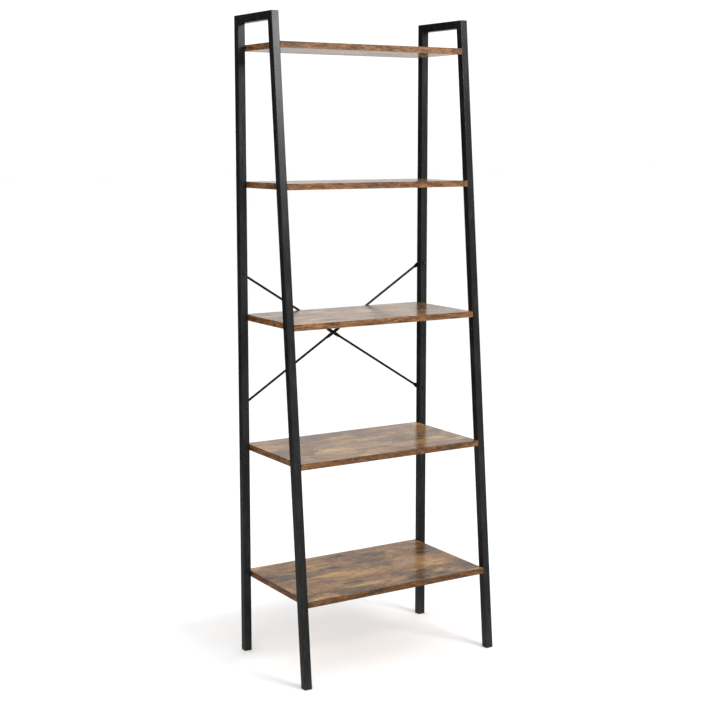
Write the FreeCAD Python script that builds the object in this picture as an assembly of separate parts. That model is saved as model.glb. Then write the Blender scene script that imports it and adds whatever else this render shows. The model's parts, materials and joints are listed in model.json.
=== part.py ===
"""Five-board ladder shelf: two leaning tube side frames, boards between them, a rod cross at the back.

Millimetres, +Z up, +X to the right of someone facing the shelf, -Y to its front.
The origin is on the floor, in the middle of the whole object's width and depth.
"""
import FreeCAD, Part
import math
import os

Vector = FreeCAD.Vector
X_AXIS = Vector(1, 0, 0)
Y_AXIS = Vector(0, 1, 0)
Z_AXIS = Vector(0, 0, 1)

# Whole object
frame_width = 560.0          # over the outer faces of the two side frames
overall_depth = 340.0        # front of the front feet to the back of the brace's centre bolt
overall_height = 1600.0
top_depth = 190.0            # side frame, front to back, at the top

# Square steel tube of the side frames
tube_size = 20.0
tube_wall = 1.2
tube_corner_radius = 1.8

# Boards
board_count = 5
board_thickness = 15.0
lowest_board_top = 210.0
headroom = 70.0              # from the highest board's top to the top of the side frames
edge_band_thickness = 1.0
edge_band_rounding = 0.5

# Screws that hold the boards: flush heads outside the posts, threaded sleeves in the board ends
board_screw_diameter = 5.0
board_screw_head_diameter = 9.6
board_screw_engagement = 12.0
insert_diameter = 8.5
insert_length = 13.0
insert_hole_depth = 15.0
screw_clearance = 0.2        # radial, where a screw passes through a tube wall

# Joint halfway up each post, just under the middle board
joint_below_board = 6.0
joint_screw_drop = 24.0
joint_screw_diameter = 5.0
joint_screw_length = 5.0
joint_head_diameter = 9.5
joint_head_height = 2.0
joiner_above = 32.0
joiner_below = 40.0
joiner_wall = 2.4
sliding_gap = 0.1            # between a tube's inside and whatever slides into it
sliding_corner_radius = 0.8  # of what slides into a tube

# Plastic plugs under the posts
plug_flange = 3.0
plug_grip = 18.0
plug_wall = 1.5

# Rod cross behind the rear posts
brace_above_middle_board = 105.0
brace_below_middle_board = 234.0
rod_diameter = 6.0
rod_gap = 0.5                # between the rods and the rear faces of the posts
tab_thickness = 2.0
tab_width = 12.0
tab_length = 11.0            # flat length on each side of an end bolt
pad_width = 9.0
pad_length = 16.0            # flat length on each side of the centre bolt
flattening_length = 9.0      # from round rod to a flat tab or pad
section_rounding = 0.49      # corner radius of the rod's section, over its thinner side
end_bolt_diameter = 5.0
end_bolt_head_diameter = 9.5
end_bolt_head_height = 2.6
end_nut_width = 8.0
end_nut_height = 4.0
centre_bolt_diameter = 4.0
centre_bolt_head_diameter = 7.6
centre_bolt_head_height = 2.0
centre_nut_width = 7.0
centre_nut_height = 3.0

# Drive sockets in the screw heads
socket_width = 3.0
socket_depth = 1.3

# What follows from those
front_y = -overall_depth / 2
rear_y = overall_depth / 2 - rod_gap - rod_diameter - centre_bolt_head_height
lean = math.atan2(rear_y - front_y - top_depth, overall_height)
lean_slope = math.tan(lean)
board_pitch = (overall_height - headroom - lowest_board_top) / (board_count - 1)
board_tops = [lowest_board_top + board_pitch * step for step in range(board_count)]
board_length = frame_width - 2 * tube_size
middle_board_top = board_tops[board_count // 2]
joint_z = middle_board_top - board_thickness - joint_below_board
joint_screw_z = joint_z - joint_screw_drop
rear_centre_y = rear_y - tube_size / 2
rod_y = rear_y + rod_gap + rod_diameter / 2
brace_low_z = middle_board_top - brace_below_middle_board
brace_high_z = middle_board_top + brace_above_middle_board
brace_middle_z = (brace_low_z + brace_high_z) / 2
bolt_span = frame_width - tube_size
SIDES = {"left": -1, "right": 1}


def front_face_y(z):
    """Front face of the leaning front posts at a height."""
    return front_y + z * lean_slope


def front_back_y(z):
    """Back face of the leaning front posts at a height."""
    return front_face_y(z) + tube_size / math.cos(lean)


def front_centre_y(z):
    """Centre line of the leaning front posts at a height."""
    return (front_face_y(z) + front_back_y(z)) / 2


def board_middle_z(board_top):
    return board_top - board_thickness / 2


def post_centre_y(post, z):
    return rear_centre_y if post == "rear" else front_centre_y(z)


def rounded_bar(size, corner_radius, low, high):
    """Square bar on the Z axis with its four long edges rounded."""
    bar = Part.makeBox(size, size, high - low, Vector(-size / 2, -size / 2, low))
    long_edges = [edge for edge in bar.Edges if abs(edge.tangentAt(0).z) > 0.5]
    return bar.makeFillet(corner_radius, long_edges)


def square_tube(size, wall, corner_radius, low, high):
    """Hollow square bar on the Z axis, open at both ends."""
    inner_radius = max(corner_radius - wall, wall / 4)
    outside = rounded_bar(size, corner_radius, low, high)
    return outside.cut(rounded_bar(size - 2 * wall, inner_radius, low - wall, high + wall))


def stand_as_post(shape, side, post):
    """Move something built on the Z axis onto the centre line of one post."""
    x = SIDES[side] * (frame_width - tube_size) / 2
    placed = shape.copy()
    if post == "front":
        placed.rotate(Vector(0, 0, 0), X_AXIS, -math.degrees(lean))
    placed.translate(Vector(x, post_centre_y(post, 0), 0))
    return placed


def end_line(outer, inner):
    """A tube's end seen from the side, as (y, z) points carried past both faces."""
    reach_y = (outer[0] - inner[0]) / 2
    reach_z = (outer[1] - inner[1]) / 2
    return (outer[0] + reach_y, outer[1] + reach_z), (inner[0] - reach_y, inner[1] - reach_z)


def between_ends(first_end, second_end):
    """Solid that keeps what lies between two tube ends, as wide as the whole frame."""
    outline = [*end_line(*first_end), *reversed(end_line(*second_end))]
    corners = [Vector(-frame_width, y, z) for y, z in outline]
    face = Part.Face(Part.makePolygon(corners + corners[:1]))
    return face.extrude(Vector(2 * frame_width, 0, 0))


def square_end(post, z):
    """End of a post cut square to its own length."""
    y = post_centre_y(post, z)
    half = tube_size / 2
    tilt = lean if post == "front" else 0.0
    step_y = half * math.cos(tilt)
    step_z = half * math.sin(tilt)
    return (y - step_y, z + step_z), (y + step_y, z - step_z)


def floor_end(post, z):
    """End of a post cut level with the floor."""
    if post == "front":
        return (front_face_y(z), z), (front_back_y(z), z)
    return (rear_y - tube_size, z), (rear_y, z)


def mitre_end(post):
    """Mitre between a post and the top rail, from the inner corner to the outer one."""
    low = overall_height - tube_size
    if post == "front":
        return (front_face_y(overall_height), overall_height), (front_back_y(low), low)
    return (rear_y - tube_size, low), (rear_y, overall_height)


def post_half(side, post, low_end, high_end):
    """Upper or lower half of a post, with every hole that falls in it."""
    spare = 2 * tube_size
    whole = square_tube(tube_size, tube_wall, tube_corner_radius, -spare, overall_height + spare)
    half = stand_as_post(whole, side, post).common(between_ends(low_end, high_end))
    return half.cut(post_drillings(side, post))


def post_drillings(side, post):
    """Every hole through one post, as one cutting tool."""
    tools = []
    for board_top in board_tops:
        z = board_middle_z(board_top)
        y = post_centre_y(post, z)
        tools.append(across_post(side, y, z, board_screw_diameter / 2 + screw_clearance))
        tools.append(countersunk_head(side, y, z))
    joint_y = post_centre_y(post, joint_screw_z)
    tools.append(across_post(side, joint_y, joint_screw_z, joint_screw_diameter / 2 + screw_clearance))
    if post == "rear":
        radius = end_bolt_diameter / 2 + screw_clearance
        for z in (brace_low_z, brace_high_z):
            start = Vector(SIDES[side] * bolt_span / 2, rear_y + tube_wall, z)
            tools.append(Part.makeCylinder(radius, tube_size + 2 * tube_wall, start, -Y_AXIS))
    return Part.makeCompound(tools)


def across_post(side, y, z, radius):
    """Round tool from just outside a post's outer face to just past its inner face."""
    sign = SIDES[side]
    start = Vector(sign * (frame_width / 2 + tube_wall), y, z)
    return Part.makeCylinder(radius, tube_size + 2 * tube_wall, start, X_AXIS * -sign)


def countersunk_head(side, y, z):
    """Conical screw head whose flat face is flush with the post's outer face."""
    sign = SIDES[side]
    start = Vector(sign * frame_width / 2, y, z)
    height = (board_screw_head_diameter - board_screw_diameter) / 2
    return Part.makeCone(board_screw_head_diameter / 2, board_screw_diameter / 2, height, start, X_AXIS * -sign)


def hexagon(width_across_flats, height, start, direction):
    """Hexagonal prism that grows from start along direction."""
    radius = width_across_flats / math.sqrt(3)
    corners = [
        Vector(radius * math.cos(math.radians(60 * turn)), radius * math.sin(math.radians(60 * turn)), 0)
        for turn in range(7)
    ]
    prism = Part.Face(Part.makePolygon(corners)).extrude(Vector(0, 0, height))
    prism.Placement = FreeCAD.Placement(start, FreeCAD.Rotation(Z_AXIS, direction))
    return prism


def dome(diameter, height, start, direction):
    """Low spherical cap that sits on start and bulges along direction."""
    radius = (diameter ** 2 / 4 + height ** 2) / (2 * height)
    ball = Part.makeSphere(radius, start + direction * (height - radius))
    return ball.common(Part.makeCylinder(diameter / 2, height, start, direction))


def button_screw(diameter, length, head_diameter, head_height, seat, outward):
    """Screw with a domed head on seat, its head pointing outward."""
    head = dome(head_diameter, head_height, seat, outward)
    shank = Part.makeCylinder(diameter / 2, length, seat, outward * -1)
    socket = hexagon(socket_width, socket_depth, seat + outward * head_height, outward * -1)
    return head.fuse(shank).cut(socket).removeSplitter()


def cap_nut(diameter, width, height, seat, outward):
    """Hexagonal nut with a domed end, threaded on a bolt that stops inside it."""
    hex_height = height / 2
    body = hexagon(width, hex_height, seat, outward)
    cap = dome(width, height - hex_height, seat + outward * hex_height, outward)
    hole = Part.makeCylinder(diameter / 2, hex_height, seat, outward)
    return body.fuse(cap).cut(hole).removeSplitter()


def side_frame(side):
    """The five tubes of one side frame."""
    rear_joint = square_end("rear", joint_z)
    front_joint = square_end("front", joint_z)
    return {
        side + "_rear_post_lower": post_half(side, "rear", floor_end("rear", plug_flange), rear_joint),
        side + "_rear_post_upper": post_half(side, "rear", rear_joint, mitre_end("rear")),
        side + "_front_post_lower": post_half(side, "front", floor_end("front", plug_flange), front_joint),
        side + "_front_post_upper": post_half(side, "front", front_joint, mitre_end("front")),
        side + "_top_rail": top_rail(side),
    }


def top_rail(side):
    """Level tube that joins the tops of the two posts of a side frame."""
    rail = square_tube(tube_size, tube_wall, tube_corner_radius, -overall_depth, overall_depth)
    rail.rotate(Vector(0, 0, 0), X_AXIS, -90)
    x = SIDES[side] * (frame_width - tube_size) / 2
    rail.translate(Vector(x, 0, overall_height - tube_size / 2))
    return rail.common(between_ends(mitre_end("front"), reversed(mitre_end("rear"))))


def joiner(side, post):
    """Steel sleeve inside a post that carries the joint between its two halves."""
    size = tube_size - 2 * tube_wall - 2 * sliding_gap
    low_end = square_end(post, joint_z - joiner_below)
    high_end = square_end(post, joint_z + joiner_above)
    sleeve = square_tube(size, joiner_wall, sliding_corner_radius, -tube_size, overall_height)
    sleeve = stand_as_post(sleeve, side, post).common(between_ends(low_end, high_end))
    board_z = board_middle_z(middle_board_top)
    board_hole = across_post(
        side, post_centre_y(post, board_z), board_z, board_screw_diameter / 2 + screw_clearance)
    joint_hole = across_post(
        side, post_centre_y(post, joint_screw_z), joint_screw_z, joint_screw_diameter / 2)
    head_room = countersunk_head(side, post_centre_y(post, board_z), board_z)
    return sleeve.cut(Part.makeCompound([board_hole, joint_hole, head_room]))


def joint_screws(side, post):
    """The two screws, outside and inside, that fix a joiner in the lower half of a post."""
    sign = SIDES[side]
    y = post_centre_y(post, joint_screw_z)
    outer_seat = Vector(sign * frame_width / 2, y, joint_screw_z)
    inner_seat = Vector(sign * (frame_width / 2 - tube_size), y, joint_screw_z)
    return [
        button_screw(joint_screw_diameter, joint_screw_length, joint_head_diameter,
                     joint_head_height, seat, X_AXIS * direction)
        for seat, direction in ((outer_seat, sign), (inner_seat, -sign))
    ]


def foot_plug(side, post):
    """Plastic plug: a level flange under the post and a thin-walled grip inside it."""
    grip_size = tube_size - 2 * tube_wall - 2 * sliding_gap
    bar = rounded_bar(tube_size, tube_corner_radius, -tube_size, tube_size)
    flange = stand_as_post(bar, side, post).common(
        between_ends(floor_end(post, 0), floor_end(post, plug_flange)))
    grip = square_tube(grip_size, plug_wall, sliding_corner_radius, -tube_size, overall_height)
    grip = stand_as_post(grip, side, post).common(
        between_ends(floor_end(post, plug_flange), floor_end(post, plug_flange + plug_grip)))
    return flange.fuse(grip).removeSplitter()


def board_front_y(board_top):
    """Front edge of a board, flush with the front posts at the board's mid height."""
    return front_face_y(board_middle_z(board_top))


def insert_holes(board_top, depth):
    """Blind holes for the threaded sleeves, into both ends of a board."""
    z = board_middle_z(board_top)
    return Part.makeCompound([
        Part.makeCylinder(insert_diameter / 2, depth,
                          Vector(sign * board_length / 2, post_centre_y(post, z), z), X_AXIS * -sign)
        for sign in SIDES.values() for post in ("rear", "front")
    ])


def board_core(board_top):
    """Board without its edge bands."""
    band = edge_band_thickness
    low = Vector(-board_length / 2 + band, board_front_y(board_top) + band, board_top - board_thickness)
    depth = rear_y - band - low.y
    core = Part.makeBox(board_length - 2 * band, depth, board_thickness, low)
    return core.cut(insert_holes(board_top, insert_hole_depth))


def edge_strip(length, seat, outward):
    """Edge band strip that stands on seat, with its two long outer edges rounded."""
    strip = Part.makeBox(length, edge_band_thickness, board_thickness)
    outer_edges = [
        edge for edge in strip.Edges
        if abs(edge.tangentAt(0).x) > 0.5 and edge.CenterOfMass.y > edge_band_thickness / 2
    ]
    strip = strip.makeFillet(edge_band_rounding, outer_edges)
    along = outward.cross(Z_AXIS)
    strip.Placement = FreeCAD.Placement(seat, FreeCAD.Rotation(along, outward, Z_AXIS, "XYZ"))
    return strip


def edge_bands(board_top):
    """The four strips round a board: the end strips lie between the front and the rear one."""
    low_z = board_top - board_thickness
    half = board_length / 2
    inner_half = half - edge_band_thickness
    inner_front = board_front_y(board_top) + edge_band_thickness
    inner_rear = rear_y - edge_band_thickness
    side_length = inner_rear - inner_front
    holes = insert_holes(board_top, insert_hole_depth)
    return [
        edge_strip(board_length, Vector(half, inner_front, low_z), -Y_AXIS),
        edge_strip(board_length, Vector(-half, inner_rear, low_z), Y_AXIS),
        edge_strip(side_length, Vector(-inner_half, inner_front, low_z), -X_AXIS).cut(holes),
        edge_strip(side_length, Vector(inner_half, inner_rear, low_z), X_AXIS).cut(holes),
    ]


def board_inserts(board_top):
    """The four threaded sleeves in a board's ends."""
    sleeves = []
    z = board_middle_z(board_top)
    for sign in SIDES.values():
        for post in ("rear", "front"):
            start = Vector(sign * board_length / 2, post_centre_y(post, z), z)
            outside = Part.makeCylinder(insert_diameter / 2, insert_length, start, X_AXIS * -sign)
            thread = Part.makeCylinder(board_screw_diameter / 2, insert_length, start, X_AXIS * -sign)
            sleeves.append(outside.cut(thread))
    return sleeves


def board_screws(board_top):
    """The four flush screws that go through the posts into a board's sleeves."""
    screws = []
    z = board_middle_z(board_top)
    length = tube_size + board_screw_engagement
    for side, sign in SIDES.items():
        for post in ("rear", "front"):
            y = post_centre_y(post, z)
            seat = Vector(sign * frame_width / 2, y, z)
            shank = Part.makeCylinder(board_screw_diameter / 2, length, seat, X_AXIS * -sign)
            socket = hexagon(socket_width, socket_depth, seat, X_AXIS * -sign)
            screws.append(countersunk_head(side, y, z).fuse(shank).cut(socket).removeSplitter())
    return screws


def rod_section(station, width, thickness, middle_y):
    """Rounded outline of a rod or its flattened part, square to X at a station along the rod."""
    radius = section_rounding * min(width, thickness)
    across = width / 2
    deep = thickness / 2
    corners = ((across, deep), (-across, deep), (-across, -deep), (across, -deep))
    edges = []
    for turn, (z, y) in enumerate(corners):
        centre_z = z - math.copysign(radius, z)
        centre_y = y - math.copysign(radius, y)
        start, middle, end = (
            Vector(station, middle_y + centre_y + radius * math.sin(angle), centre_z + radius * math.cos(angle))
            for angle in (math.radians(90 * turn + part) for part in (0, 45, 90)))
        edges.append(Part.Arc(start, middle, end).toShape())
    closed = []
    for edge, following in zip(edges, edges[1:] + edges[:1]):
        closed.append(edge)
        closed.append(Part.makeLine(edge.Vertexes[-1].Point, following.Vertexes[0].Point))
    return Part.Wire(closed)


def brace_rod(rise, pad_y):
    """Rod flattened at its two ends and where it crosses the other rod; rise is +1 or -1."""
    reach = math.hypot(bolt_span, brace_high_z - brace_low_z) / 2
    tab_y = -rod_gap - rod_diameter / 2 + tab_thickness / 2
    half_sections = [
        (pad_length, pad_width, rod_diameter / 2, pad_y),
        (pad_length + flattening_length, rod_diameter, rod_diameter, 0.0),
        (reach - tab_length - flattening_length, rod_diameter, rod_diameter, 0.0),
        (reach - tab_length, tab_width, tab_thickness, tab_y),
        (reach, tab_width, tab_thickness, tab_y),
    ]
    mirrored = [(-station, *section) for station, *section in reversed(half_sections)]
    rod = Part.makeLoft([rod_section(*section) for section in mirrored + half_sections], True, True)
    for end in (-reach, reach):
        corner = Vector(end, tab_y - tab_thickness / 2, 0)
        rod = rod.fuse(Part.makeCylinder(tab_width / 2, tab_thickness, corner, Y_AXIS))
    holes = [(end, end_bolt_diameter) for end in (-reach, reach)] + [(0.0, centre_bolt_diameter)]
    for station, diameter in holes:
        start = Vector(station, -rod_diameter, 0)
        rod = rod.cut(Part.makeCylinder(diameter / 2, 2 * rod_diameter, start, Y_AXIS))
    angle = math.degrees(math.atan2(brace_high_z - brace_low_z, bolt_span))
    rod.rotate(Vector(0, 0, 0), Y_AXIS, -rise * angle)
    rod.translate(Vector(0, rod_y, brace_middle_z))
    return rod


def brace_end_places():
    """Where the brace is bolted to the rear posts, as (x, z)."""
    return [(sign * bolt_span / 2, z) for sign in SIDES.values() for z in (brace_low_z, brace_high_z)]


def brace_end_bolts():
    """Bolts from behind, through the rod ends and the rear posts."""
    seat_y = rear_y + tab_thickness
    length = tab_thickness + tube_size + end_nut_height / 2
    return [
        button_screw(end_bolt_diameter, length, end_bolt_head_diameter, end_bolt_head_height,
                     Vector(x, seat_y, z), Y_AXIS)
        for x, z in brace_end_places()
    ]


def brace_end_nuts():
    """Cap nuts of the brace's end bolts, on the front faces of the rear posts."""
    return [
        cap_nut(end_bolt_diameter, end_nut_width, end_nut_height,
                Vector(x, rear_y - tube_size, z), -Y_AXIS)
        for x, z in brace_end_places()
    ]


def brace_centre_bolt():
    """Bolt through both rods where they cross, its head at the back."""
    length = rod_diameter + centre_nut_height / 2
    seat = Vector(0, rod_y + rod_diameter / 2, brace_middle_z)
    return button_screw(centre_bolt_diameter, length, centre_bolt_head_diameter,
                        centre_bolt_head_height, seat, Y_AXIS)


def brace_centre_nut():
    seat = Vector(0, rod_y - rod_diameter / 2, brace_middle_z)
    return cap_nut(centre_bolt_diameter, centre_nut_width, centre_nut_height, seat, -Y_AXIS)


def all_nodes():
    """Every piece of the shelf, by node name."""
    nodes = {}
    for side in SIDES:
        nodes.update(side_frame(side))
        for post in ("rear", "front"):
            place = f"{side}_{post}"
            nodes[place + "_joiner"] = joiner(side, post)
            nodes[place + "_joint_screws"] = Part.makeCompound(joint_screws(side, post))
            nodes[place + "_foot_plug"] = foot_plug(side, post)
    for number, board_top in enumerate(reversed(board_tops), start=1):
        shelf = f"shelf_{number}"
        nodes[shelf + "_board"] = board_core(board_top)
        nodes[shelf + "_edge_bands"] = Part.makeCompound(edge_bands(board_top))
        nodes[shelf + "_inserts"] = Part.makeCompound(board_inserts(board_top))
        nodes[shelf + "_screws"] = Part.makeCompound(board_screws(board_top))
    nodes["brace_rod_rising_right"] = brace_rod(1, -rod_diameter / 4)
    nodes["brace_rod_rising_left"] = brace_rod(-1, rod_diameter / 4)
    nodes["brace_end_bolts"] = Part.makeCompound(brace_end_bolts())
    nodes["brace_end_nuts"] = Part.makeCompound(brace_end_nuts())
    nodes["brace_centre_bolt"] = brace_centre_bolt()
    nodes["brace_centre_nut"] = brace_centre_nut()
    return nodes


os.makedirs("parts", exist_ok=True)
for name, shape in all_nodes().items():
    shape.exportStep(f"parts/{name}.step")
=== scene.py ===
import json
import math

import bmesh
import bpy
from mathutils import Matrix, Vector

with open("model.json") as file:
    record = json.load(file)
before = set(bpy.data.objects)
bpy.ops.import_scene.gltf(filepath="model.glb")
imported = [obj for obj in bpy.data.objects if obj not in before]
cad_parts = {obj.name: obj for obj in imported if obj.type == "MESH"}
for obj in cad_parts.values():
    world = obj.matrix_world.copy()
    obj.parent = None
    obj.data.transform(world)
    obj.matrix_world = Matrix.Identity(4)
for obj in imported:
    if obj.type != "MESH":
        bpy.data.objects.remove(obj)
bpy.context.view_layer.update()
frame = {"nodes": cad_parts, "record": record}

RECORD_SLOTS = {part["node"]: part["material_slot"] for part in frame["record"]["subparts"]}

# Camera, in metres and degrees: in front and to the left, at a height between the two upper boards.
CAMERA_PLACE = (-1.865, -2.964, 1.30)
CAMERA_TURN = 31.9
CAMERA_TILT = -8.05
CAMERA_LENS = 70.4
CAMERA_SHIFT_UP = -0.028

# Studio
FLOOR_HALF_SIZE = 60.0
FLOOR_CELLS = 24
WORLD_STRENGTH = 1.12
# What gloss sees: the sky's fades by side and by height, the ground's by height, the step between the two
BRIGHT_SIDE = (0.87, 0.50, 0.0)
SIDE_FADE = {"From Min": 0.10, "From Max": 0.75, "To Min": 0.10, "To Max": 1.0}
HEIGHT_FADE = {"From Min": 0.12, "From Max": 0.42, "To Min": 1.0, "To Max": 0.25}
GROUND_FADE = {"From Min": -0.25, "From Max": -0.08, "To Min": 0.32, "To Max": 1.08}
HORIZON_FADE = {"From Min": -0.02, "From Max": 0.0, "To Min": 0.0, "To Max": 1.0}
FLAG_FOOT = (-0.95, 2.16, 0.0)
FLAG_ACROSS = (0.88, 0.47, 0.0)
FLAG_WIDTH = 3.7
FLAG_HEIGHT = 3.2
FLAG_CELLS = 6
FLAG_FADE = (-0.45, 0.60)    # from full cloth to none, along X
# Each soft box: place, the point it faces, width and height, power in watts.
SOFT_BOXES = {
    "front_right_softbox": ((1.45, -3.65, 2.78), (0.0, 0.0, 1.3), (1.6, 1.35), 125.0),
    "front_left_softbox": ((-2.8, -2.4, 2.6), (0.0, 0.0, 0.8), (1.6, 1.6), 18.0),
}

# Sockets of a mix node that mixes colours
MIX_SHARE, MIX_FIRST, MIX_SECOND, MIX_RESULT = 0, 6, 7, 2


class Shades:
    """Adds shader nodes to one material. What a method works out is an output that others can take."""

    def __init__(self, material):
        material.use_nodes = True
        self.tree = material.node_tree
        self.shader = next(node for node in self.tree.nodes if node.type == "BSDF_PRINCIPLED")

    def add(self, kind, inputs, **settings):
        node = self.tree.nodes.new(kind)
        for name, value in settings.items():
            setattr(node, name, value)
        for name, value in inputs.items():
            self.feed(node.inputs[name], value)
        return node

    def feed(self, socket, value):
        if isinstance(value, bpy.types.NodeSocket):
            self.tree.links.new(value, socket)
        else:
            socket.default_value = value

    def place(self):
        """Position in the shelf's own frame, in metres."""
        return self.add("ShaderNodeTexCoord", {}).outputs["Object"]

    def normal(self):
        return self.add("ShaderNodeNewGeometry", {}).outputs["Normal"]

    def stretch(self, vector, scale, shift=(0.0, 0.0, 0.0)):
        node = self.add("ShaderNodeMapping", {"Vector": vector, "Scale": scale, "Location": shift})
        return node.outputs["Vector"]

    def pattern(self, vector, name):
        """Stretched noise with the settings that PATTERNS holds under a name."""
        scale, shift, detail, roughness, distortion = PATTERNS[name]
        inputs = {"Vector": self.stretch(vector, scale, shift), "Scale": 1.0, "Detail": detail,
                  "Roughness": roughness, "Distortion": distortion}
        return self.add("ShaderNodeTexNoise", inputs).outputs["Fac"]

    def wander(self, vector, scale, detail):
        """Noise with a value of its own for each axis, as a vector around zero."""
        inputs = {"Vector": self.stretch(vector, scale), "Scale": 1.0, "Detail": detail}
        noise = self.add("ShaderNodeTexNoise", inputs).outputs["Color"]
        return self.vector_maths("SUBTRACT", noise, (0.5, 0.5, 0.5))

    def axes(self, vector):
        """The three parts of a vector, by axis letter."""
        return self.add("ShaderNodeSeparateXYZ", {"Vector": vector}).outputs

    def joined(self, **parts):
        return self.add("ShaderNodeCombineXYZ", parts).outputs[0]

    def cells(self, vector):
        """Distance to the nearest of scattered points, in X and Y only."""
        inputs = {"Vector": vector, "Scale": 1.0}
        return self.add("ShaderNodeTexVoronoi", inputs, voronoi_dimensions="2D").outputs["Distance"]

    def maths(self, operation, first, second=0.0):
        node = self.add("ShaderNodeMath", {}, operation=operation)
        self.feed(node.inputs[0], first)
        self.feed(node.inputs[1], second)
        return node.outputs[0]

    def times(self, value, factor):
        return self.maths("MULTIPLY", value, factor)

    def vector_maths(self, operation, first, second):
        node = self.add("ShaderNodeVectorMath", {}, operation=operation)
        self.feed(node.inputs[0], first)
        self.feed(node.inputs[1], second)
        return node.outputs[0]

    def spread(self, value, low, high, to_low=0.0, to_high=1.0):
        """Smooth step from to_low at low to to_high at high."""
        inputs = {"Value": value, "From Min": low, "From Max": high, "To Min": to_low, "To Max": to_high}
        return self.add("ShaderNodeMapRange", inputs, interpolation_type="SMOOTHSTEP").outputs["Result"]

    def ramp(self, value, stops):
        node = self.add("ShaderNodeValToRGB", {"Fac": value})
        elements = node.color_ramp.elements
        while len(elements) < len(stops):
            elements.new(0.5)
        for element, (position, colour) in zip(elements, stops):
            element.position = position
            element.color = (*colour, 1.0)
        return node.outputs["Color"]

    def mix(self, share, first, second):
        node = self.add("ShaderNodeMix", {}, data_type="RGBA")
        self.feed(node.inputs[MIX_SHARE], share)
        self.feed(node.inputs[MIX_FIRST], first)
        self.feed(node.inputs[MIX_SECOND], second)
        return node.outputs[MIX_RESULT]

    def between(self, share, first_tone, second_tone):
        """Mix of two of the named tones."""
        return self.mix(share, (*TONES[first_tone], 1.0), (*TONES[second_tone], 1.0))

    def tint(self, colour, share, tone):
        """Colour with a share of one of the named tones over it."""
        return self.mix(share, colour, (*TONES[tone], 1.0))

    def tint_where(self, colour, layer):
        """Colour with a tone where a field lies past a limit: field, low, high, largest share, tone."""
        field, low, high, share, tone = layer
        return self.tint(colour, self.spread(field, low, high, 0.0, share), tone)

    def roughness(self, field, surface):
        return self.spread(field, FIELD_LOW, FIELD_HIGH, *ROUGHNESS[surface])

    def relief(self, height, surface):
        strength, depth = RELIEF[surface]
        inputs = {"Height": height, "Strength": strength, "Distance": depth}
        return self.add("ShaderNodeBump", inputs).outputs["Normal"]

    def finish(self, colour, roughness, normal, **constants):
        """Links what varies and sets what is the same all over."""
        self.feed(self.shader.inputs["Base Color"], colour)
        self.feed(self.shader.inputs["Roughness"], roughness)
        self.feed(self.shader.inputs["Normal"], normal)
        for name, value in constants.items():
            self.shader.inputs[name.replace("_", " ")].default_value = value


def srgb(red, green, blue):
    """Linear colour of an 8-bit display colour."""
    def linear(value):
        value /= 255.0
        return value / 12.92 if value <= 0.04045 else ((value + 0.055) / 1.055) ** 2.4
    return linear(red), linear(green), linear(blue)


TONES = {
    "board_bands": ((0.34, srgb(100, 72, 44)), (0.45, srgb(140, 102, 62)),
                    (0.54, srgb(176, 132, 80)), (0.64, srgb(214, 170, 108))),
    "board_red": srgb(140, 92, 58),
    "board_grey": srgb(122, 106, 90),
    "board_smoke": srgb(72, 58, 46),
    "board_smudge": srgb(46, 38, 33),
    "board_line": srgb(80, 55, 34),
    "board_light": srgb(228, 184, 122),
    "board_knot": srgb(32, 24, 19),
    "band_bands": ((0.32, srgb(86, 53, 26)), (0.48, srgb(116, 76, 40)), (0.66, srgb(146, 100, 56))),
    "band_line_and_painted_shade": srgb(52, 32, 18),
    "band_light": srgb(168, 120, 70),
    "band_smudge": srgb(40, 26, 17),
    "frame_dark": srgb(19, 19, 20),
    "frame_light": srgb(26, 26, 27),
    "brace_dark": srgb(13, 13, 14),
    "brace_light": srgb(18, 18, 19),
    "coat_rub": srgb(96, 96, 98),
    "dust": srgb(120, 114, 106),
    "screw_dark": srgb(34, 34, 36),
    "screw_worn": srgb(66, 66, 68),
    "zinc_dark": srgb(168, 170, 168),
    "zinc_light": srgb(204, 204, 198),
    "plastic": srgb(26, 26, 27),
    "plastic_scuff": srgb(62, 60, 58),
    "floor_low": (0.93, 0.93, 0.93),
    "floor_high": (0.96, 0.96, 0.96),
    "cloth_dark": (0.008, 0.008, 0.008),
    "cloth_light": (0.014, 0.014, 0.014),
}

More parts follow.
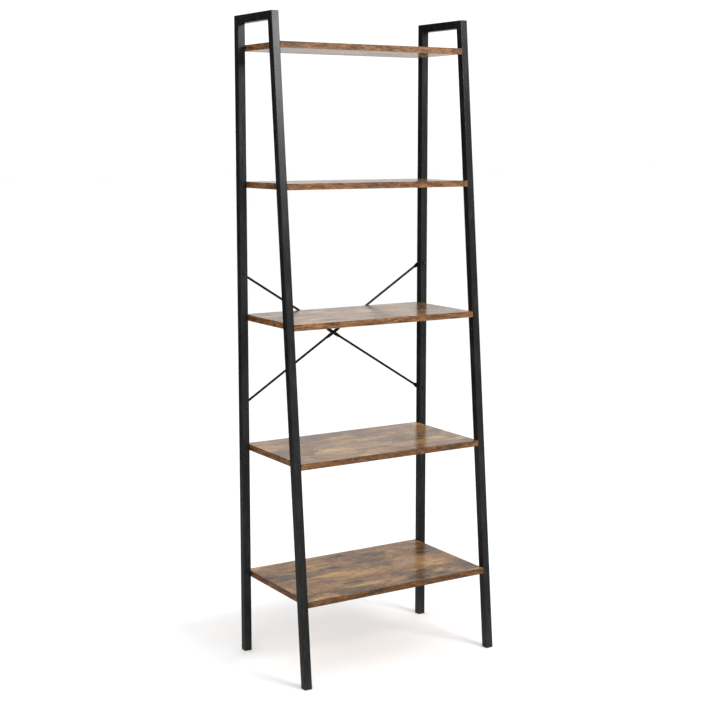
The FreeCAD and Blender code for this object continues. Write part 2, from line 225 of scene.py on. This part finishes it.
# Stretched noises, per metre along X, Y and Z: scale, shift, detail, roughness, distortion.
NO_SHIFT = (0.0, 0.0, 0.0)
PATTERNS = {
    "coat_patches": ((9.0, 9.0, 9.0), NO_SHIFT, 2.0, 0.5, 0.0),
    "coat_rubs": ((90.0, 90.0, 16.0), NO_SHIFT, 3.0, 0.55, 0.0),
    "coat_peel": ((850.0, 850.0, 850.0), NO_SHIFT, 2.0, 0.5, 0.0),
    "coat_grit": ((2600.0, 2600.0, 2600.0), NO_SHIFT, 1.0, 0.5, 0.0),
    "board_bands": ((5.4, 12.0, 11.0), NO_SHIFT, 5.0, 0.60, 0.0),
    "board_hills": ((2.4, 9.0, 7.0), (4.4, 2.9, 0.0), 2.0, 0.45, 0.0),
    "board_smoke": ((7.2, 13.5, 13.0), (3.1, 1.7, 0.0), 6.0, 0.62, 0.0),
    "board_smudges": ((24.0, 90.0, 17.0), (0.9, 6.2, 0.0), 4.0, 0.60, 0.4),
    "board_mottle": ((46.0, 120.0, 60.0), (2.2, 0.3, 0.0), 5.0, 0.68, 0.0),
    "board_veil": ((5.0, 10.0, 19.0), (8.1, 0.4, 0.0), 3.0, 0.55, 0.0),
    "board_blush": ((6.5, 17.0, 15.0), (1.6, 5.5, 0.0), 4.0, 0.60, 0.0),
    "board_streaks": ((16.0, 165.0, 165.0), NO_SHIFT, 5.0, 0.66, 0.0),
    "board_fibres": ((38.0, 780.0, 780.0), NO_SHIFT, 3.0, 0.62, 0.0),
    "board_saw": ((190.0, 8.0, 9.0), NO_SHIFT, 3.0, 0.6, 0.0),
    "board_pores": ((70.0, 1300.0, 1300.0), NO_SHIFT, 2.0, 0.5, 0.0),
    "band_tone": ((14.0, 3.0, 70.0), NO_SHIFT, 4.0, 0.6, 0.4),
    "band_streaks": ((62.0, 24.0, 360.0), NO_SHIFT, 5.0, 0.68, 0.5),
    "band_fibres": ((90.0, 60.0, 1700.0), NO_SHIFT, 3.0, 0.6, 0.0),
    "band_smudges": ((17.0, 9.0, 120.0), (5.3, 0.0, 1.9), 4.0, 0.6, 1.2),
    "screw_patches": ((260.0, 260.0, 260.0), NO_SHIFT, 4.0, 0.6, 0.0),
    "screw_grain": ((1900.0, 1900.0, 1900.0), NO_SHIFT, 2.0, 0.5, 0.0),
    "zinc_crystals": ((420.0, 420.0, 420.0), NO_SHIFT, 3.0, 0.6, 0.0),
    "zinc_drawn": ((40.0, 900.0, 900.0), NO_SHIFT, 3.0, 0.5, 0.0),
    "plastic_spark": ((1500.0, 1500.0, 1500.0), NO_SHIFT, 2.0, 0.5, 0.0),
    "plastic_scuffs": ((300.0, 300.0, 60.0), NO_SHIFT, 4.0, 0.6, 0.0),
    "floor_cloud": ((0.7, 0.7, 0.7), NO_SHIFT, 3.0, 0.5, 0.0),
    "cloth_weave": ((900.0, 900.0, 900.0), NO_SHIFT, 2.0, 0.5, 0.0),
}

# Roughness of each surface, where its field is low and where it is high
FIELD_LOW = 0.3
FIELD_HIGH = 0.7
ROUGHNESS = {
    "coat": (0.25, 0.29),
    "board": (0.19, 0.28),
    "band": (0.36, 0.48),
    "screw": (0.24, 0.38),
    "zinc": (0.28, 0.42),
    "plastic": (0.5, 0.66),
    "floor": (0.75, 0.85),
    "cloth": (0.85, 0.95),
}
# Relief of each surface: strength and depth in metres
RELIEF = {
    "frame_steel": (0.22, 0.00006),
    "brace_steel": (0.08, 0.00006),
    "board": (0.25, 0.00008),
    "band": (0.25, 0.00008),
    "screw": (0.2, 0.00004),
    "zinc": (0.2, 0.00005),
    "plastic": (0.4, 0.00006),
    "floor": (0.1, 0.0005),
    "cloth": (0.2, 0.0005),
}
KNOT_SCALE = (4.2, 8.4, 0.0)
KNOT_SHIFT = (0.31, 0.77, 0.0)
SWAY_SCALE = (4.0, 9.0, 9.0)
SWAY_DETAIL = 3.0
SWAY_REACH = (0.06, 0.026, 0.0)
BOARD_SHIFT_PER_METRE = {"X": 7.1, "Y": 4.3}   # moves the print of each board, by its height
RINGS_PER_HILL = 330.0
DUST_TOP = 0.12              # height in metres where the dust on the posts ends
COAT_GLOSS = {"frame_steel": 0.26, "brace_steel": 0.18}


def new_material(name):
    material = bpy.data.materials.new(name)
    return material, Shades(material)


def powder_coat(name, dark, light):
    """Satin black powder coat: fine orange peel, faint handling marks, a little dust near the floor."""
    material, shades = new_material(name)
    place = shades.place()
    patches, peel, grit = (shades.pattern(place, "coat_" + part) for part in ("patches", "peel", "grit"))
    rubs = shades.spread(shades.pattern(place, "coat_rubs"), 0.50, 0.72)
    dust = shades.times(shades.spread(shades.axes(place)["Z"], 0.0, DUST_TOP, 1.0, 0.0), patches)
    colour = shades.between(shades.spread(patches, FIELD_LOW, FIELD_HIGH), dark, light)
    colour = shades.tint(colour, shades.times(rubs, 0.06), "coat_rub")
    colour = shades.tint(colour, shades.times(dust, 0.10), "dust")
    roughness = shades.maths("ADD", shades.roughness(patches, "coat"), shades.times(rubs, 0.05))
    relief = shades.maths("ADD", peel, shades.times(grit, 0.3))
    shades.finish(colour, roughness, shades.relief(relief, name), Specular_IOR_Level=COAT_GLOSS[name])
    return material


def rustic_board():
    """Semi-gloss rustic print: long grain along X, smoky patches, dark smudges, knots and saw marks."""
    material, shades = new_material("rustic_board")
    place = shades.place()
    sway = shades.vector_maths("MULTIPLY", shades.wander(place, SWAY_SCALE, SWAY_DETAIL), SWAY_REACH)
    swayed = shades.vector_maths("ADD", place, sway)
    height = shades.axes(place)["Z"]
    own_shift = {axis: shades.times(height, shift) for axis, shift in BOARD_SHIFT_PER_METRE.items()}
    flat = shades.vector_maths("ADD", swayed, shades.joined(**own_shift))
    knots = shades.cells(shades.stretch(flat, KNOT_SCALE, KNOT_SHIFT))
    knot_core = shades.spread(knots, 0.02, 0.11, 1.0, 0.0)
    knot_halo = shades.spread(knots, 0.05, 0.34, 1.0, 0.0)
    bands, smoke, smudge_field, mottle, blush, streaks, fibres, pore_field, hills = (
        shades.pattern(swayed, "board_" + name)
        for name in ("bands", "smoke", "smudges", "mottle", "blush", "streaks", "fibres", "pores", "hills"))
    veil, saw = (shades.pattern(place, "board_" + name) for name in ("veil", "saw"))
    hills = shades.maths("ADD", hills, shades.times(knot_halo, 0.10))
    rings = shades.maths("SINE", shades.times(hills, RINGS_PER_HILL))
    pores = shades.spread(pore_field, 0.60, 0.70)

    colour = shades.ramp(bands, TONES["board_bands"])
    colour = shades.tint_where(colour, (blush, 0.48, 0.62, 0.55, "board_red"))
    colour = shades.tint_where(colour, (veil, 0.48, 0.64, 0.40, "board_grey"))
    smoke_share = shades.maths("MAXIMUM", shades.spread(smoke, 0.505, 0.60), shades.times(knot_halo, 0.60))
    colour = shades.tint(colour, shades.times(smoke_share, 0.80), "board_smoke")
    smudges = shades.times(shades.spread(smudge_field, 0.56, 0.63), shades.spread(smoke, 0.40, 0.52))
    colour = shades.tint(colour, shades.times(smudges, 0.75), "board_smudge")
    for layer in (
        (mottle, 0.50, 0.66, 0.42, "board_line"),
        (mottle, 0.47, 0.32, 0.28, "board_light"),
        (rings, 0.10, 0.95, 0.28, "board_line"),
        (streaks, 0.51, 0.68, 0.40, "board_line"),
        (streaks, 0.47, 0.32, 0.24, "board_light"),
        (saw, 0.52, 0.70, 0.14, "board_smudge"),
        (fibres, 0.38, 0.66, 0.28, "board_line"),
    ):
        colour = shades.tint_where(colour, layer)
    knot_share = shades.times(knot_core, shades.spread(mottle, 0.36, 0.58, 0.35, 0.85))
    colour = shades.tint(colour, knot_share, "board_knot")
    colour = shades.tint(colour, shades.times(pores, 0.35), "board_knot")

    roughness = shades.maths("ADD", shades.roughness(streaks, "board"), shades.times(pores, 0.08))
    relief = shades.maths("ADD", streaks, shades.times(fibres, 0.4))
    relief = shades.maths("SUBTRACT", relief, shades.times(pores, 0.5))
    shades.finish(colour, roughness, shades.relief(relief, "board"))
    return material


def edge_band():
    """Wood-grain edge band: warm brown, dark short streaks along each strip; lower boards darker by painted
    shade.
    """
    material, shades = new_material("edge_band")
    place = shades.place()
    axes = shades.axes(place)
    is_end = shades.spread(shades.maths("ABSOLUTE", shades.axes(shades.normal())["X"]), 0.5, 0.6)
    turned = shades.joined(X=axes["Y"], Y=axes["X"], Z=axes["Z"])
    along = shades.mix(is_end, place, turned)
    tone, streaks, fibres, smudge_field = (
        shades.pattern(along, "band_" + name) for name in ("tone", "streaks", "fibres", "smudges"))
    colour = shades.ramp(tone, TONES["band_bands"])
    colour = shades.tint_where(colour, (streaks, 0.505, 0.59, 0.86, "band_line_and_painted_shade"))
    colour = shades.tint_where(colour, (streaks, 0.46, 0.34, 0.58, "band_light"))
    smudges = shades.spread(smudge_field, 0.54, 0.70)
    colour = shades.tint(colour, shades.times(smudges, 0.7), "band_smudge")
    colour = shades.tint_where(colour, (fibres, 0.4, 0.62, 0.38, "band_line_and_painted_shade"))
    # Painted shade: the bands grow darker towards the lower boards, half as much on the board ends
    painted_shade_lower_boards = shades.spread(axes["Z"], 0.12, 0.95, 0.42, 0.0)
    painted_shade_share = shades.times(painted_shade_lower_boards, shades.spread(is_end, 0.0, 1.0, 1.0, 0.5))
    colour = shades.tint(colour, painted_shade_share, "band_line_and_painted_shade")
    shades.finish(colour, shades.roughness(streaks, "band"), shades.relief(streaks, "band"),
                  Specular_IOR_Level=0.3)
    return material


def black_screw():
    """Black finished screw, partly metallic, with paler worn patches."""
    material, shades = new_material("black_screw")
    place = shades.place()
    patches, grain = (shades.pattern(place, "screw_" + part) for part in ("patches", "grain"))
    colour = shades.between(shades.spread(patches, 0.5, 0.75), "screw_dark", "screw_worn")
    shades.finish(colour, shades.roughness(patches, "screw"), shades.relief(grain, "screw"), Metallic=0.6)
    return material


def sleeve_steel():
    """Zinc plated steel of the hidden sleeves."""
    material, shades = new_material("sleeve_steel")
    place = shades.place()
    crystals, drawn = (shades.pattern(place, "zinc_" + part) for part in ("crystals", "drawn"))
    colour = shades.between(crystals, "zinc_dark", "zinc_light")
    shades.finish(colour, shades.roughness(crystals, "zinc"), shades.relief(drawn, "zinc"), Metallic=1.0)
    return material


def black_plastic():
    """Matt moulded plastic of the foot plugs, a little scuffed."""
    material, shades = new_material("black_plastic")
    place = shades.place()
    spark, scuffs = (shades.pattern(place, "plastic_" + part) for part in ("spark", "scuffs"))
    colour = shades.between(shades.spread(scuffs, 0.55, 0.75), "plastic", "plastic_scuff")
    shades.finish(colour, shades.roughness(scuffs, "plastic"), shades.relief(spark, "plastic"))
    return material


def studio_floor():
    """Pale, matt studio floor with a barely visible unevenness."""
    material, shades = new_material("studio_floor")
    cloud = shades.pattern(shades.place(), "floor_cloud")
    colour = shades.between(cloud, "floor_low", "floor_high")
    shades.finish(colour, shades.roughness(cloud, "floor"), shades.relief(cloud, "floor"),
                  Specular_IOR_Level=0.2)
    return material


def flag_cloth():
    """Black cloth of the flag that shades one side of the studio, thinning out to its right end."""
    material, shades = new_material("flag_cloth")
    place = shades.place()
    weave = shades.pattern(place, "cloth_weave")
    cover = shades.spread(shades.axes(place)["X"], *FLAG_FADE, 1.0, 0.0)
    shades.feed(shades.shader.inputs["Alpha"], cover)
    colour = shades.between(weave, "cloth_dark", "cloth_light")
    shades.finish(colour, shades.roughness(weave, "cloth"), shades.relief(weave, "cloth"),
                  Specular_IOR_Level=0.1)
    return material


def make_materials():
    return {
        "frame_steel": powder_coat("frame_steel", "frame_dark", "frame_light"),
        "brace_steel": powder_coat("brace_steel", "brace_dark", "brace_light"),
        "black_screw": black_screw(),
        "sleeve_steel": sleeve_steel(),
        "rustic_board": rustic_board(),
        "edge_band": edge_band(),
        "black_plastic": black_plastic(),
    }


def dress_frame(materials):
    """Gives each CAD node the material of its slot in the record."""
    for node, piece in frame["nodes"].items():
        piece.data.materials.clear()
        piece.data.materials.append(materials[RECORD_SLOTS[node]])


def finished_piece(name, bm, material):
    """Turns a mesh under construction into an object in the scene."""
    mesh = bpy.data.meshes.new(name)
    bm.to_mesh(mesh)
    bm.free()
    mesh.materials.append(material)
    piece = bpy.data.objects.new(name, mesh)
    bpy.context.scene.collection.objects.link(piece)
    return piece


def make_floor():
    """Pale floor without an edge in sight; gloss sees the darker ground of the surroundings instead."""
    bm = bmesh.new()
    bmesh.ops.create_grid(bm, x_segments=FLOOR_CELLS, y_segments=FLOOR_CELLS, size=FLOOR_HALF_SIZE)
    floor = finished_piece("studio_floor", bm, studio_floor())
    floor.visible_glossy = False


def make_left_flag():
    """Dark panel that only gloss sees, behind the shelf and mostly to its left."""
    bm = bmesh.new()
    across = Vector(FLAG_ACROSS).normalized()
    rows = [[bm.verts.new(Vector(FLAG_FOOT) + across * FLAG_WIDTH * (column / FLAG_CELLS - 0.5)
                          + Vector((0.0, 0.0, FLAG_HEIGHT * row / FLAG_CELLS)))
             for column in range(FLAG_CELLS + 1)] for row in range(FLAG_CELLS + 1)]
    for lower, upper in zip(rows, rows[1:]):
        for first in range(FLAG_CELLS):
            bm.faces.new((lower[first], lower[first + 1], upper[first + 1], upper[first]))
    flag = finished_piece("left_flag", bm, flag_cloth())
    flag.visible_camera = False
    flag.visible_diffuse = False
    flag.visible_shadow = False


def area_light(name, place, target, size, power):
    light = bpy.data.lights.new(name, "AREA")
    light.shape = "RECTANGLE"
    light.size, light.size_y = size
    light.energy = power
    lamp = bpy.data.objects.new(name, light)
    lamp.location = place
    lamp.rotation_euler = (Vector(target) - Vector(place)).to_track_quat("-Z", "Y").to_euler()
    bpy.context.scene.collection.objects.link(lamp)


def make_studio_light():
    """White surroundings and soft boxes in front. Gloss sees a sky bright low on one side, a dim ground."""
    world = bpy.data.worlds.new("studio")
    bpy.context.scene.world = world
    world.use_nodes = True
    tree = world.node_tree
    tree.nodes.clear()
    links = tree.links

    def node(kind, **settings):
        made = tree.nodes.new(kind)
        for name, value in settings.items():
            setattr(made, name, value)
        return made

    def fade(value, limits):
        made = node("ShaderNodeMapRange", interpolation_type="SMOOTHSTEP")
        for name, limit in limits.items():
            made.inputs[name].default_value = limit
        links.new(value, made.inputs["Value"])
        return made.outputs["Result"]

    direction = node("ShaderNodeTexCoord").outputs["Generated"]
    towards = node("ShaderNodeVectorMath", operation="DOT_PRODUCT")
    towards.inputs[1].default_value = BRIGHT_SIDE
    links.new(direction, towards.inputs[0])
    split = node("ShaderNodeSeparateXYZ")
    links.new(direction, split.inputs["Vector"])
    sky = node("ShaderNodeMath", operation="MULTIPLY")
    links.new(fade(towards.outputs["Value"], SIDE_FADE), sky.inputs[0])
    links.new(fade(split.outputs["Z"], HEIGHT_FADE), sky.inputs[1])
    glow = node("ShaderNodeMix", data_type="FLOAT")
    links.new(fade(split.outputs["Z"], HORIZON_FADE), glow.inputs["Factor"])
    links.new(fade(split.outputs["Z"], GROUND_FADE), glow.inputs["A"])
    links.new(sky.outputs["Value"], glow.inputs["B"])
    even = node("ShaderNodeBackground")
    even.inputs["Color"].default_value = (1.0, 1.0, 1.0, 1.0)
    even.inputs["Strength"].default_value = WORLD_STRENGTH
    uneven = node("ShaderNodeBackground")
    links.new(glow.outputs["Result"], uneven.inputs["Color"])
    mix = node("ShaderNodeMixShader")
    links.new(node("ShaderNodeLightPath").outputs["Is Glossy Ray"], mix.inputs["Fac"])
    links.new(even.outputs["Background"], mix.inputs[1])
    links.new(uneven.outputs["Background"], mix.inputs[2])
    links.new(mix.outputs["Shader"], node("ShaderNodeOutputWorld").inputs["Surface"])
    for name, settings in SOFT_BOXES.items():
        area_light(name, *settings)


def make_camera():
    data = bpy.data.cameras.new("camera")
    data.lens = CAMERA_LENS
    data.shift_y = CAMERA_SHIFT_UP
    camera = bpy.data.objects.new("camera", data)
    camera.location = CAMERA_PLACE
    camera.rotation_euler = (math.radians(90 + CAMERA_TILT), 0.0, math.radians(-CAMERA_TURN))
    bpy.context.scene.collection.objects.link(camera)
    bpy.context.scene.camera = camera


make_camera()
dress_frame(make_materials())
make_floor()
make_left_flag()
make_studio_light()
bpy.context.scene.view_settings.view_transform = "Standard"
